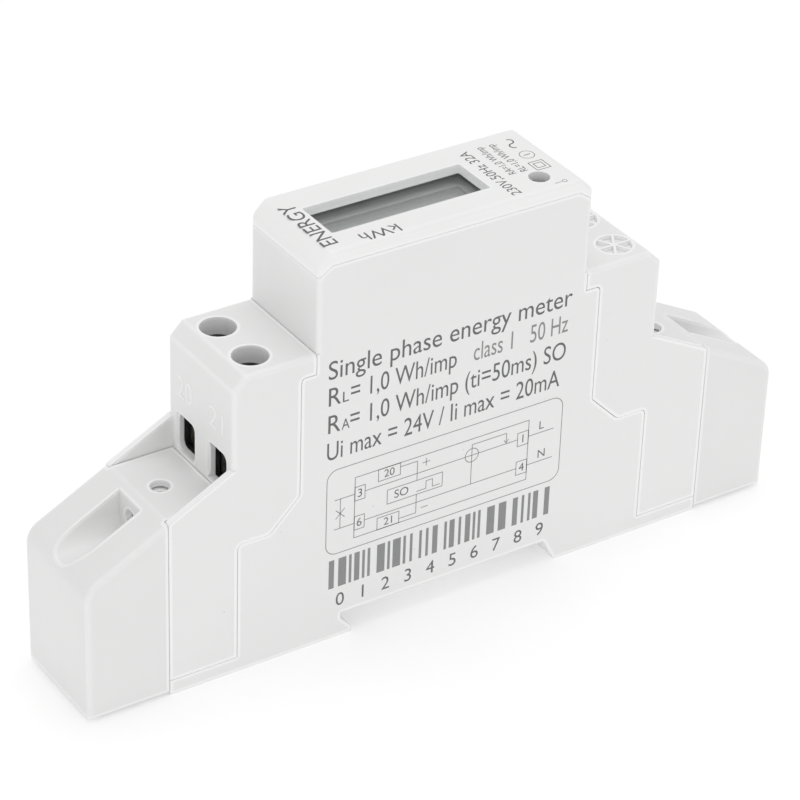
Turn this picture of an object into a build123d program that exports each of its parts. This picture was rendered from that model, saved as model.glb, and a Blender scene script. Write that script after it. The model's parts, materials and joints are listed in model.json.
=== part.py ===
from build123d import *
import math
import os

# One-module energy meter that clips on a 35 mm rail, in millimetres.
# X runs along the meter, from the pulse-output end at -X to the blank end at +X. The label side is -Y.
# Z = 0 is the underside of the rail feet, and the display looks up.

# ---- driving dimensions ----
LENGTH = 118.0
WIDTH = 17.8
HEIGHT = 64.4
WALL = 1.1
SEAM_GAP = 0.08  # between mouldings that meet edge to edge
SLIDE_GAP = 0.15  # between mouldings that slide past each other

HALF_LENGTH = LENGTH / 2
HALF_WIDTH = WIDTH / 2
INNER_HALF = HALF_WIDTH - WALL
EDGE_ROUND = 0.6

# stepped outline, as distances from the middle along X and heights along Z
BODY_END = 46.05  # where the end covers meet the body
FLOOR_TOP = 2.4  # seam between the floor and the shoulder housings
FOOT_WALL_X = 35.1
KNEE_LOW = (29.9, 21.75)
KNEE_HIGH = (25.05, 26.6)
COLLAR_Z = 45.75
SHOULDER_X = 35.9
SHOULDER_TOP = 48.9
SHOULDER_CHAMFER = 2.05
HEAD_X = 22.65
BEZEL_END_Z = 60.75
BEZEL_SIDE_Z = 62.3
BEZEL_STEP_X = 20.4
HEAD_END_CHAMFER = 2.0
HEAD_END_BLEND = 1.2  # rounding on both sides of that chamfer
BEZEL_GAP = 0.02
INNER_FLOOR = 3.6

# wings beside the cover tongue
WING_HIGH = 34.2
WING_LOW = 28.9
WING_THICK = 1.0
SLOPE = (WING_HIGH - WING_LOW) / (BODY_END - SHOULDER_X)

# rail recess
RECESS_LEFT = -17.9
RECESS_RIGHT = 17.8
RECESS_TOP = 3.9
RECESS_ROOF = 5.1

# main terminals
TERMINAL_Y = 4.35
MAIN_X = 41.0
MAIN_WIRE_Z = 14.9
MAIN_WIRE_R = 3.0
CLAMP_BAR_Z = 17.4  # underside of the bar that the cage clamps against
BAR_THICK = 1.2
BAR_HALF = 2.2
CAGE_HALF_X = 3.5
CAGE_HALF_Y = 3.1
CAGE_SIDE = 0.8
CAGE_FLOOR = 1.2
CAGE_HEAD = 1.8
MAIN_OPENING = 5.0
MAIN_SCREW_R = 2.0
MAIN_HEAD_R = 3.0
THREAD_GAP = 0.05
DECK_BOTTOM = 24.9
DECK_TOP = 27.7
HEAD_SEAT_Z = 25.1
PARTITION_HALF = 1.0
GRIP_GROOVE_R = 0.25

# pulse terminals
PULSE_X = -30.6
PULSE_BAR_Z = 34.6
PULSE_BAR_THICK = 0.8
PULSE_BAR_HALF = 1.9
PULSE_CAGE_HALF_X = 3.0
PULSE_CAGE_HALF_Y = 2.8
PULSE_CAGE_SIDE = 0.55
PULSE_CAGE_FLOOR = 0.8
PULSE_CAGE_HEAD = 1.5
PULSE_OPENING = 4.6
PULSE_SCREW_R = 1.5
PULSE_HEAD_R = 2.3
PULSE_HEAD_Z = 40.8
ACCESS_R = 2.625
ACCESS_DEPTH = 2.8
ACCESS_COLLAR = 0.7  # wall of the collar under each driver hole
KNOCK_OUT_DEPTH = 0.6
SPOKE_WIDTH = 0.45
LIP_FACE_Y = 7.1  # inner face of the lips behind the seams
WINDOW_HALF = 2.3
WINDOW_LOW = 29.5
WINDOW_HIGH = 35.2
PULSE_BLOCK_X = (-34.65, -26.5)
PULSE_BLOCK_HALF = 7.75
PULSE_SHELF_Z = 28.0  # top of the shelf that the terminal block stands on
PULSE_BACK_WALL = 0.85

# end covers
TONGUE_TOP = 29.0
TONGUE_THICK = 1.0
COVER_BOTTOM = 0.6
CLIP_Z = (5.0, 9.0)  # heights between which each cover's guide clips run
COVER_ROUND = 3.3
TROUGH_HALF = 3.0
TROUGH_START = 47.15
TROUGH_FLOOR = 21.85
TROUGH_ROUND = 2.95
SEAL_HOLE_X = 42.4
SEAL_HOLE_R = 1.44
SEAL_CROSS_Z = 25.1
SEAL_CROSS_R = 1.4

# display
WINDOW_X = (-17.8, 8.05)
WINDOW_Y = (-4.35, 3.45)
BEZEL_PLATE = 1.4
GLASS_THICK = 1.0
BEZEL_CLIPS = (-14.0, 14.0)  # middles of the snap clips along X
LED_X = 15.8
LED_Y = -5.2
LED_R = 1.55

# circuit boards
BOARD_Y = 3.9
BOARD_THICK = 1.2
BOARD_LOW = 10.0
BOARD_HIGH = 54.8
DISPLAY_BOARD_Z = 55.8
LEAD_R = 0.3
LEAD_HOLE_R = 0.42
BOARD_POSTS = ((-22.6, 12.2), (22.6, 12.2), (-19.6, 50.4), (19.6, 50.4))
PULSE_LEADS = ((-23.0, 35.0), (-21.0, 35.0))  # where the pulse contacts' pins pass through the board

# supply bars
BAR_LOW = 6.2  # middle of the bars where they run along the floor
BAR_TOP = BAR_LOW + BAR_THICK / 2
SHUNT_HALF = 4.2

# latch
LATCH_TRAVEL = 3.2
LATCH_HALF = 4.0
FLANGE_HALF = 5.0
NOSE_X = 16.9
NOSE_END = 22.0
LATCH_END = 44.6
SPRING_START = 24.2
SPRING_STOP = 33.5


# ---- helpers ----
def block(x0, x1, y0, y1, z0, z1):
    """Box between two corners."""
    return Pos((x0 + x1) / 2, (y0 + y1) / 2, (z0 + z1) / 2) * Box(x1 - x0, y1 - y0, z1 - z0)


def near(vertex, point, reach=0.2):
    return math.hypot(vertex.X - point[0], vertex.Z - point[1]) < reach


def slab(points, y0, y1, rounds=()):
    """Outline in the XZ plane, pushed from y0 to y1. rounds holds (x, z, radius) for corners to round."""
    face = Plane.XZ.offset(-y0) * Polygon(*points, align=None)
    for x, z, radius in rounds:
        face = fillet([v for v in face.vertices() if near(v, (x, z))], radius)
    return extrude(face, amount=y1 - y0, dir=(0, 1, 0))


def rod(axis, centre, radius, start, end):
    """Cylinder along an axis. centre holds the two other coordinates, in X, Y, Z order."""
    middle = (start + end) / 2
    if axis == "X":
        return Pos(middle, *centre) * Rot(0, 90, 0) * Cylinder(radius, end - start)
    if axis == "Y":
        return Pos(centre[0], middle, centre[1]) * Rot(90, 0, 0) * Cylinder(radius, end - start)
    return Pos(*centre, middle) * Cylinder(radius, end - start)


def both_y(shape):
    """The shape and its mirror image across the XZ plane."""
    return shape + mirror(shape, about=Plane.XZ)


def flip_x(shape):
    return mirror(shape, about=Plane.YZ)


def group(shapes):
    """Separate solids kept apart in one node."""
    solids = [solid for shape in shapes for solid in shape.solids()]
    return Compound(children=solids)


def round_edges(shape, chosen, radius):
    return fillet(ShapeList(chosen), radius)


def save(name, shape):
    shape.label = name
    export_step(shape, f"parts/{name}.step")


# ---- mouldings ----
def side_outline(grow=0.0):
    """Right half of the long walls' outline, from the foot to the bezel. grow moves the seam outwards."""
    return [
        (FOOT_WALL_X + grow, FLOOR_TOP),
        (FOOT_WALL_X + grow, KNEE_LOW[1]),
        (KNEE_LOW[0] + grow, KNEE_LOW[1]),
        (KNEE_HIGH[0] + grow, KNEE_HIGH[1]),
        (KNEE_HIGH[0] + grow, COLLAR_Z + grow),
        (HEAD_X, COLLAR_Z + grow),
    ]


def seam_rounds(grow=0.0):
    """Rounded corners of that seam."""
    return [
        (FOOT_WALL_X + grow, KNEE_LOW[1], 0.9),
        (KNEE_LOW[0] + grow, KNEE_LOW[1], 0.9),
        (KNEE_HIGH[0] + grow, KNEE_HIGH[1], 0.9),
        (KNEE_HIGH[0] + grow, COLLAR_Z + grow, 0.7),
    ]


def main_housing():
    """Sleeve with both long walls, the head's end walls and the floor with the rail recess."""
    right = side_outline()
    left = [(-x, z) for x, z in reversed(right)]
    rounds = seam_rounds()
    rounds += [(-x, z, r) for x, z, r in rounds]
    top = [(HEAD_X, SHOULDER_TOP), (-HEAD_X, SHOULDER_TOP)]
    body = slab(right + top + left, -HALF_WIDTH, HALF_WIDTH, rounds)

    head = block(-HEAD_X, HEAD_X, -HALF_WIDTH, HALF_WIDTH, SHOULDER_TOP, BEZEL_SIDE_Z)
    head = round_edges(head, head.edges().filter_by(Axis.Z), EDGE_ROUND)
    for side in (-1, 1):
        step = [
            (side * BEZEL_STEP_X, BEZEL_SIDE_Z),
            (side * HEAD_X, BEZEL_END_Z),
            (side * (HEAD_X + 1), BEZEL_END_Z),
            (side * (HEAD_X + 1), BEZEL_SIDE_Z + 1),
            (side * BEZEL_STEP_X, BEZEL_SIDE_Z + 1),
        ]
        head -= slab(step, -HALF_WIDTH - 1, HALF_WIDTH + 1)
    floor = block(-BODY_END, BODY_END, -HALF_WIDTH, HALF_WIDTH, 0, FLOOR_TOP)
    shell = body + head + floor

    reach = BODY_END + 1
    roof = [
        (-reach, INNER_FLOOR),
        (-19.3, INNER_FLOOR),
        (-19.3, RECESS_ROOF),
        (19.3, RECESS_ROOF),
        (19.3, INNER_FLOOR),
        (reach, INNER_FLOOR),
        (reach, SHOULDER_TOP + 1),
        (HEAD_X + 0.01, SHOULDER_TOP + 1),
        (HEAD_X + 0.01, COLLAR_Z),
        (HEAD_X - WALL, COLLAR_Z),
        (HEAD_X - WALL, HEIGHT),
        (WALL - HEAD_X, HEIGHT),
        (WALL - HEAD_X, COLLAR_Z),
        (-HEAD_X - 0.01, COLLAR_Z),
        (-HEAD_X - 0.01, SHOULDER_TOP + 1),
        (-reach, SHOULDER_TOP + 1),
    ]
    shell -= slab(roof, -INNER_HALF, INNER_HALF)

    recess = [
        (RECESS_LEFT, RECESS_TOP),
        (RECESS_LEFT, 2.95),
        (-16.6, 1.52),
        (-16.05, 0.95),
        (-16.15, -1),
        (20.4, -1),
        (19.9, 0),
        (RECESS_RIGHT, RECESS_TOP),
    ]
    shell -= slab(recess, -HALF_WIDTH - 1, HALF_WIDTH + 1)

    # channel for the latch, with a wider upper part that holds its flanges
    shell -= block(16, 50, -LATCH_HALF - SLIDE_GAP, LATCH_HALF + SLIDE_GAP, -1, 2.35)
    shell -= block(16, 50, -FLANGE_HALF - SLIDE_GAP, FLANGE_HALF + SLIDE_GAP, 1.05, 2.35)
    nose_room = NOSE_END + LATCH_TRAVEL + 0.4
    shell -= block(16, nose_room, -LATCH_HALF - SLIDE_GAP, LATCH_HALF + SLIDE_GAP, -1, 2.85)
    shell += block(SPRING_STOP, SPRING_STOP + 1.4, -1.2, 1.2, 0.3, 2.6)

    # cored pockets under the other foot
    for x0, x1 in ((-44.4, -35.6), (-34.6, -28.2), (-27.2, -21.0)):
        for y0, y1 in ((-7.2, -0.5), (0.5, 7.2)):
            shell -= block(x0, x1, y0, y1, -1, 1.3)

    # posts that carry the metering board
    for x, z in BOARD_POSTS:
        shell += rod("Y", (x, z), 1.5, BOARD_Y + BOARD_THICK, INNER_HALF + 0.2)
        shell += rod("Y", (x, z), 0.75, BOARD_Y - 0.5, INNER_HALF)

    # grooves for the bezel's snap ridges
    for x in BEZEL_CLIPS:
        shell -= both_y(block(x - 2.2, x + 2.2, INNER_HALF - 0.1, INNER_HALF + 0.4, 57.9, 58.8))

    # ledges that carry the display board
    for x0, x1 in ((-HEAD_X + WALL - 0.1, -19.6), (19.6, HEAD_X - WALL + 0.1)):
        shell += block(x0, x1, -6.0, 3.0, DISPLAY_BOARD_Z - 1.4, DISPLAY_BOARD_Z)
    return shell


def shoulder_housing(pulse):
    """Shoulder housing at -X: tower, wings, deck and end wall. pulse opens it for the pulse terminals."""
    seam = [(-x, z) for x, z in side_outline(SEAM_GAP)]
    rounds = [(-x, z, r) for x, z, r in seam_rounds(SEAM_GAP)]
    inner_x = -HEAD_X - SEAM_GAP
    tower_side = seam[3:5] + [(inner_x, COLLAR_Z + SEAM_GAP)]
    tower_outline = [
        (-SHOULDER_X, KNEE_HIGH[1]),
        (-SHOULDER_X, SHOULDER_TOP - SHOULDER_CHAMFER),
        (SHOULDER_CHAMFER - SHOULDER_X, SHOULDER_TOP),
        (inner_x, SHOULDER_TOP),
    ] + tower_side[::-1]
    tower = slab(tower_outline, -HALF_WIDTH, HALF_WIDTH, rounds[3:])
    outer = [
        e
        for e in tower.edges()
        if abs(abs(e.center().Y) - HALF_WIDTH) < 0.01
        and e.center().X < inner_x - 0.1
        and (e.center().Z > SHOULDER_TOP - SHOULDER_CHAMFER - 0.1 or e.center().X < 0.1 - SHOULDER_X)
    ]
    tower = round_edges(tower, outer, EDGE_ROUND)

    base_outline = [
        (-BODY_END, FLOOR_TOP + SEAM_GAP / 2),
        (-BODY_END, WING_LOW),
        (-SHOULDER_X, WING_HIGH),
        (-KNEE_HIGH[0] - SEAM_GAP, WING_HIGH),
    ] + seam[3::-1][:3] + [(-FOOT_WALL_X - SEAM_GAP, FLOOR_TOP + SEAM_GAP / 2)]
    base = slab(base_outline, -HALF_WIDTH, HALF_WIDTH, rounds[:3] + [(-BODY_END, WING_LOW, 0.6)])
    shell = tower + base

    # room above the deck, between the wings
    wing_inside = HALF_WIDTH - WING_THICK
    shell -= block(-BODY_END - 1, -SHOULDER_X, -wing_inside, wing_inside, DECK_TOP, WING_HIGH + 1)

    # inside of the tower and of the two main terminal bays
    tower_roof = SHOULDER_TOP - 1.3
    front = 1.2 - SHOULDER_X
    tower_room = [
        (front, PULSE_SHELF_Z),
        (front, tower_roof - 1.5),
        (front + 1.5, tower_roof),
        (-20, tower_roof),
        (-20, PULSE_SHELF_Z),
    ]
    shell -= slab(tower_room, -INNER_HALF, INNER_HALF)
    shell -= block(-34.0, -20, -INNER_HALF, INNER_HALF, 3.7, 26.8)
    bay = block(1.2 - BODY_END, -33, PARTITION_HALF, INNER_HALF, 3.7, DECK_BOTTOM)
    shell -= both_y(bay)

    # deck over each bay: a pocket that holds the screw's head and a smaller hole for the driver
    for y in (-TERMINAL_Y, TERMINAL_Y):
        shell -= rod("Z", (-MAIN_X, y), MAIN_HEAD_R + 0.2, DECK_BOTTOM - 1, 27.1)
        shell -= rod("Z", (-MAIN_X, y), 2.5, 27, DECK_TOP + 1)
        shell -= rod("X", (y, MAIN_WIRE_Z), MAIN_WIRE_R, -BODY_END - 1, 2 - BODY_END)
        clip_low, clip_high = CLIP_Z
        clip_y = sorted((math.copysign(INNER_HALF - 1.3, y), math.copysign(INNER_HALF, y)))
        shell -= block(-BODY_END - 1, 2 - BODY_END, *clip_y, clip_low - 0.2, clip_high + 0.2)

    # channel for the seal wire
    shell -= rod("Z", (-SEAL_HOLE_X, 0), 0.7, SEAL_CROSS_Z - 0.7, DECK_TOP + 1)
    shell -= rod("X", (0, SEAL_CROSS_Z), 0.7, -BODY_END - 1, -SEAL_HOLE_X)

    # lips that overlap the sleeve's walls from inside
    for x0, x1, z0, z1 in ((-FOOT_WALL_X, -33.9, 6.0, 20.5), (-KNEE_HIGH[0], -23.9, 29.0, 44.0)):
        shell += both_y(block(x0 - 1.4, x1, LIP_FACE_Y, INNER_HALF - 0.06, z0, z1))
        shell += both_y(block(x0 - 1.4, x0 - 0.3, LIP_FACE_Y, INNER_HALF + 0.1, z0, z1))

    if not pulse:
        for y in (-TERMINAL_Y, TERMINAL_Y):
            recess = rod("Z", (PULSE_X, y), ACCESS_R, SHOULDER_TOP - KNOCK_OUT_DEPTH, SHOULDER_TOP + 1)
            for turn in (0, 60, 120):
                spoke = Box(3 * ACCESS_R, SPOKE_WIDTH, 4 * KNOCK_OUT_DEPTH)
                recess -= Pos(PULSE_X, y, SHOULDER_TOP) * Rot(0, 0, turn) * spoke
            shell -= recess
        return flip_x(shell)

    # shelf under the pulse terminal block, and a collar under each driver hole
    shell += block(front - 0.1, PULSE_X + 4.4, -INNER_HALF - 0.1, INNER_HALF + 0.1, 26.8, PULSE_SHELF_Z)
    collar_low = SHOULDER_TOP - ACCESS_DEPTH
    for y in (-TERMINAL_Y, TERMINAL_Y):
        shell += rod("Z", (PULSE_X, y), ACCESS_R + ACCESS_COLLAR, collar_low, tower_roof + 0.1)
        shell -= rod("Z", (PULSE_X, y), ACCESS_R, collar_low - 1, SHOULDER_TOP + 1)
        shell -= wire_window(y)
    return shell


def pulse_terminal_block():
    """Insert inside the pulse tower, with a bay, a wire way, a screw bore and a contact slot for each cage."""
    x0, x1 = PULSE_BLOCK_X
    top = SHOULDER_TOP - ACCESS_DEPTH - 0.05
    insert = block(x0, x1, -PULSE_BLOCK_HALF, PULSE_BLOCK_HALF, PULSE_SHELF_Z, top)
    bay_back = x1 - PULSE_BACK_WALL
    slot_low, slot_high = PULSE_BAR_Z - 0.15, PULSE_BAR_Z + PULSE_BAR_THICK + 0.15
    for y in (-TERMINAL_Y, TERMINAL_Y):
        bay_half = PULSE_CAGE_HALF_Y + 0.2
        insert -= block(x0 + 0.8, bay_back, y - bay_half, y + bay_half, PULSE_SHELF_Z + 0.8, PULSE_HEAD_Z)
        wire_half = WINDOW_HALF + 0.3
        insert -= block(x0 - 1, x0 + 1, y - wire_half, y + wire_half, WINDOW_LOW - 0.2, WINDOW_HIGH + 0.2)
        insert -= rod("Z", (PULSE_X, y), PULSE_HEAD_R + 0.1, PULSE_HEAD_Z - 0.1, PULSE_HEAD_Z + 2.3)
        insert -= rod("Z", (PULSE_X, y), 2.1, PULSE_HEAD_Z, top + 1)
        slot_half = PULSE_BAR_HALF - 0.25
        insert -= block(bay_back - 0.1, x1 + 1, y - slot_half, y + slot_half, slot_low, slot_high)
    return insert


def wire_window(y):
    """Opening in the tower's front wall, with rounded outer corners and a bevelled rim."""
    outside = 1 if y > 0 else -1
    opening = block(-SHOULDER_X - 1, -33.5, y - WINDOW_HALF, y + WINDOW_HALF, WINDOW_LOW, WINDOW_HIGH)
    corners = [e for e in opening.edges().filter_by(Axis.X) if (e.center().Y - y) * outside > 0]
    opening = round_edges(opening, corners, 1.1)
    bevel = 0.45
    rim = loft(
        [
            Plane.YZ.offset(-SHOULDER_X - 0.01) * rim_face(y, WINDOW_HALF + bevel),
            Plane.YZ.offset(-SHOULDER_X + bevel) * rim_face(y, WINDOW_HALF),
        ]
    )
    return opening + rim


def rim_face(y, half):
    grow = half - WINDOW_HALF
    height = WINDOW_HIGH - WINDOW_LOW + grow
    return Pos(y, (WINDOW_HIGH + WINDOW_LOW + grow) / 2) * RectangleRounded(2 * half, height, 1.1)


def slope_z(x):
    """Height of the cover's slope at a distance x from the middle."""
    return WING_LOW - SLOPE * (x - BODY_END)


def terminal_cover():
    """End cover at -X: sloped hood, tongue over the deck, seal trough and two guide clips."""
    start = -BODY_END - SEAM_GAP
    slope_end = slope_z(HALF_LENGTH)
    outline = [
        (start, COVER_BOTTOM),
        (start, slope_z(-start)),
        (-HALF_LENGTH, slope_end),
        (-HALF_LENGTH, COVER_BOTTOM),
    ]
    hood = slab(outline, -HALF_WIDTH, HALF_WIDTH, [(-HALF_LENGTH, slope_end, COVER_ROUND)])
    outer = [
        e
        for e in hood.edges()
        if abs(abs(e.center().Y) - HALF_WIDTH) < 0.01 and e.center().Z > 1 and e.center().X < start - 0.1
    ]
    hood = round_edges(hood, outer, EDGE_ROUND)
    envelope = hood
    inside = [
        (start + 2, -1),
        (start + 2, slope_z(BODY_END - 2) - 1.25),
        (WALL - HALF_LENGTH, slope_end - 1.25),
        (WALL - HALF_LENGTH, -1),
    ]
    inside_corner = (WALL - HALF_LENGTH, slope_end - 1.25, COVER_ROUND - WALL)
    hood -= slab(inside, -INNER_HALF, INNER_HALF, [inside_corner])

    liner_half = TROUGH_HALF + 1
    liner_low = TROUGH_FLOOR - 1
    trough_wall = block(-HALF_LENGTH - 1, 1.0 - TROUGH_START, -liner_half, liner_half, liner_low, 40)
    trough_wall = round_edges(trough_wall, low_edges(trough_wall, liner_low), TROUGH_ROUND + 0.8)
    hood += trough_wall & envelope
    trough = block(-HALF_LENGTH - 1, -TROUGH_START, -TROUGH_HALF, TROUGH_HALF, TROUGH_FLOOR, 40)
    trough = round_edges(trough, low_edges(trough, TROUGH_FLOOR), TROUGH_ROUND)
    hood -= trough
    hood -= rod("X", (0, SEAL_CROSS_Z), SEAL_CROSS_R, -TROUGH_START - 1, 2 - TROUGH_START)

    tongue_half = HALF_WIDTH - WING_THICK - SLIDE_GAP
    tongue_low = TONGUE_TOP - TONGUE_THICK
    crease_x = BODY_END - (TONGUE_TOP - WING_LOW) / SLOPE  # where the slope reaches the tongue's top
    tongue_outline = [
        (start - 0.6, tongue_low),
        (start - 0.6, slope_z(0.6 - start)),
        (-crease_x, TONGUE_TOP),
        (-SHOULDER_X - 0.1, TONGUE_TOP),
        (-SHOULDER_X - 0.1, tongue_low),
    ]
    tongue = slab(tongue_outline, -tongue_half, tongue_half)
    tongue -= rod("Z", (-SEAL_HOLE_X, 0), SEAL_HOLE_R, TONGUE_TOP - 2, TONGUE_TOP + 1)
    hood += tongue

    clip_low, clip_high = CLIP_Z
    clip = block(start - 2.0, start + 4.0, INNER_HALF - 1.1, INNER_HALF - 0.1, clip_low, clip_high)
    root = block(start - 3.0, start - 0.6, INNER_HALF - 1.1, INNER_HALF + 0.1, clip_low, clip_high)
    return hood + both_y(clip + root)


def low_edges(shape, z):
    return [e for e in shape.edges().filter_by(Axis.X) if abs(e.center().Z - z) < 0.01]


def display_bezel():
    """Cap of the head, with the display opening, the LED hole and four snap clips."""
    low_end = BEZEL_END_Z + BEZEL_GAP
    low_side = BEZEL_SIDE_Z + BEZEL_GAP
    bottom = BEZEL_END_Z - 2
    slant_x = HEAD_X - HEAD_END_CHAMFER
    slant_z = HEIGHT - HEAD_END_CHAMFER
    slants = [(-HEAD_X, slant_z), (-slant_x, HEIGHT), (slant_x, HEIGHT), (HEAD_X, slant_z)]
    outline = [(-HEAD_X, bottom)] + slants + [(HEAD_X, bottom)]
    cap = slab(outline, -HALF_WIDTH, HALF_WIDTH, [(x, z, HEAD_END_BLEND) for x, z in slants])
    outer = [
        e
        for e in cap.edges()
        if abs(abs(e.center().Y) - HALF_WIDTH) < 0.01 and e.center().Z > bottom + 0.1
    ]
    cap = round_edges(cap, outer, EDGE_ROUND)
    below = [
        (-HEAD_X - 1, bottom - 1),
        (-HEAD_X - 1, low_end),
        (-HEAD_X, low_end),
        (-BEZEL_STEP_X, low_side),
        (BEZEL_STEP_X, low_side),
        (HEAD_X, low_end),
        (HEAD_X + 1, low_end),
        (HEAD_X + 1, bottom - 1),
    ]
    cap -= slab(below, -HALF_WIDTH - 1, HALF_WIDTH + 1)
    plate_z = HEIGHT - BEZEL_PLATE
    inner_x = HEAD_X - WALL
    cap -= slab(
        [(-inner_x, 50), (-inner_x, plate_z), (inner_x, plate_z), (inner_x, 50)],
        -INNER_HALF,
        INNER_HALF,
        [(-inner_x, plate_z, HEAD_END_CHAMFER), (inner_x, plate_z, HEAD_END_CHAMFER)],
    )
    opening = block(*WINDOW_X, *WINDOW_Y, plate_z - 1, HEIGHT + 1)
    opening = round_edges(opening, opening.edges().filter_by(Axis.Z), 0.25)
    cap -= opening
    cap -= rod("Z", (LED_X, LED_Y), LED_R, plate_z - 1, HEIGHT + 1)
    for x in BEZEL_CLIPS:
        leg = block(x - 2, x + 2, INNER_HALF - 0.75, INNER_HALF - 0.08, 57.4, plate_z + 0.2)
        ridge = block(x - 2, x + 2, INNER_HALF - 0.3, INNER_HALF + 0.28, 58.1, 58.6)
        cap += both_y(leg + ridge)
    return cap


# ---- terminals ----
def cage(x, y, half_x, half_y, side, floor, head, bar_z, bar_thick, opening, screw_r):
    """Rising clamp cage in its open position, with the threaded hole in its head."""
    low = bar_z - opening - floor
    head_low = bar_z + bar_thick + 0.1
    body = block(x - half_x, x + half_x, y - half_y, y + half_y, low, head_low + head)
    body = round_edges(body, body.edges().filter_by(Axis.X), 0.6)
    inside = (y - half_y + side, y + half_y - side)
    body -= block(x - half_x - 1, x + half_x + 1, *inside, low + floor, head_low)
    for step in range(3):
        groove_x = x - half_x / 2 + step * half_x / 2
        body -= rod("Y", (groove_x, low + floor), GRIP_GROOVE_R, *inside)
    return body - rod("Z", (x, y), screw_r + THREAD_GAP, head_low - 1, head_low + head + 1)


def main_cage(side, y):
    return cage(
        side * MAIN_X, y, CAGE_HALF_X, CAGE_HALF_Y, CAGE_SIDE, CAGE_FLOOR, CAGE_HEAD,
        CLAMP_BAR_Z, BAR_THICK, MAIN_OPENING, MAIN_SCREW_R,
    )


def pulse_cage(y):
    return cage(
        PULSE_X, y, PULSE_CAGE_HALF_X, PULSE_CAGE_HALF_Y, PULSE_CAGE_SIDE, PULSE_CAGE_FLOOR,
        PULSE_CAGE_HEAD, PULSE_BAR_Z, PULSE_BAR_THICK, PULSE_OPENING, PULSE_SCREW_R,
    )


def screw(x, y, radius, head_radius, tip, seat, head_height):
    """Captive clamp screw, with a domed head and a cross recess with one long slot."""
    shank = rod("Z", (x, y), radius, tip, seat + 0.5)
    shank = chamfer(shank.edges().sort_by(Axis.Z)[0], 0.4)
    head = rod("Z", (x, y), head_radius, seat, seat + head_height)
    head = fillet(head.edges().sort_by(Axis.Z)[-1], head_height * 0.3)
    top = seat + head_height
    depth = head_height * 0.6
    slot = block(x - head_radius - 1, x + head_radius + 1, y - 0.4, y + 0.4, top - depth, top + 1)
    arm = head_radius * 0.55
    cross = block(x - 0.4, x + 0.4, y - arm, y + arm, top - depth * 1.3, top + 1)
    return shank + head - slot - cross


def main_screw(side, y):
    tip = CLAMP_BAR_Z + BAR_THICK + 0.02
    return screw(side * MAIN_X, y, MAIN_SCREW_R, MAIN_HEAD_R, tip, HEAD_SEAT_Z, 1.9)


def pulse_screw(y):
    tip = PULSE_BAR_Z + PULSE_BAR_THICK + 0.02
    return screw(PULSE_X, y, PULSE_SCREW_R, PULSE_HEAD_R, tip, PULSE_HEAD_Z, 2.2)


def bent_bar(points, y0, y1, bend):
    """Strip of constant thickness that follows a path in the XZ plane."""
    path = FilletPolyline(*points, radius=bend)
    face = Plane.XZ.offset(-y0) * trace(path, line_width=BAR_THICK)
    return extrude(face, amount=y1 - y0, dir=(0, 1, 0))


def bar_path(inner_x):
    """Centre line of a supply bar, from the clamp end at -X down to the floor and in to inner_x."""
    middle = CLAMP_BAR_Z + BAR_THICK / 2
    return [(-44.2, middle), (-35.2, middle), (-35.2, BAR_LOW), (inner_x, BAR_LOW)]


def neutral_bar():
    left = bent_bar(bar_path(0), -TERMINAL_Y - BAR_HALF, BAR_HALF - TERMINAL_Y, 1.6)
    return left + flip_x(left)


def live_bar():
    return bent_bar(bar_path(-SHUNT_HALF), TERMINAL_Y - BAR_HALF, TERMINAL_Y + BAR_HALF, 1.6)


def shunt():
    """Resistance-alloy bridge between the two live bars."""
    low, high = BAR_LOW - BAR_THICK / 2, BAR_LOW + BAR_THICK / 2
    bridge = block(-SHUNT_HALF, SHUNT_HALF, TERMINAL_Y - BAR_HALF, TERMINAL_Y + BAR_HALF, low, high)
    return bridge - block(-0.6, 0.6, TERMINAL_Y + 0.9, TERMINAL_Y + BAR_HALF + 1, low - 1, high + 1)


def pulse_contact(y):
    """Flat contact from a pulse clamp to the metering board."""
    z0, z1 = PULSE_BAR_Z, PULSE_BAR_Z + PULSE_BAR_THICK
    half = PULSE_BAR_HALF - 0.4
    if y > 0:
        plate = block(PULSE_X - 2.9, PULSE_X + 3.2, y - half, y + half, z0, z1)
        plate += block(PULSE_X + 3.0, -22.6, y - half, BOARD_Y - 0.05, z0, z1)
        tip_y, tip = 2.9, PULSE_LEADS[0]
    else:
        plate = block(PULSE_X - 2.9, -24.9, y - half, y + half, z0, z1)
        plate += block(-26.1, -24.9, y - half, 2.2, z0, z1)
        plate += block(-25.0, -20.6, 1.2, 2.2, z0, z1)
        tip_y, tip = 1.3, PULSE_LEADS[1]
    return plate + rod("Y", tip, LEAD_R, tip_y, BOARD_Y + BOARD_THICK + 0.9)


# ---- electronics ----
LEADS = []


def lead(x, z, y0):
    """Wire lead along Y, from a component at y0 through the metering board."""
    LEADS.append((x, z))
    return rod("Y", (x, z), LEAD_R, y0, BOARD_Y + BOARD_THICK + 0.9)


def soft_box(x0, x1, y0, y1, z0, z1, radius):
    body = block(x0, x1, y0, y1, z0, z1)
    return fillet(body.edges(), radius)


def film_capacitor():
    body = soft_box(-20.8, -3.8, -4.6, 3.7, 13.0, 26.5, 0.5)
    return body + lead(-18.8, 19.7, 3.5) + lead(-5.8, 19.7, 3.5)


def varistor():
    disc = rod("X", (-1.3, 20.0), 4.4, 0.8, 4.6)
    disc = fillet(disc.edges().filter_by(GeomType.CIRCLE), 1.2)
    return disc + lead(2.0, 17.5, 0.0) + lead(3.4, 22.5, 0.0)


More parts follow.
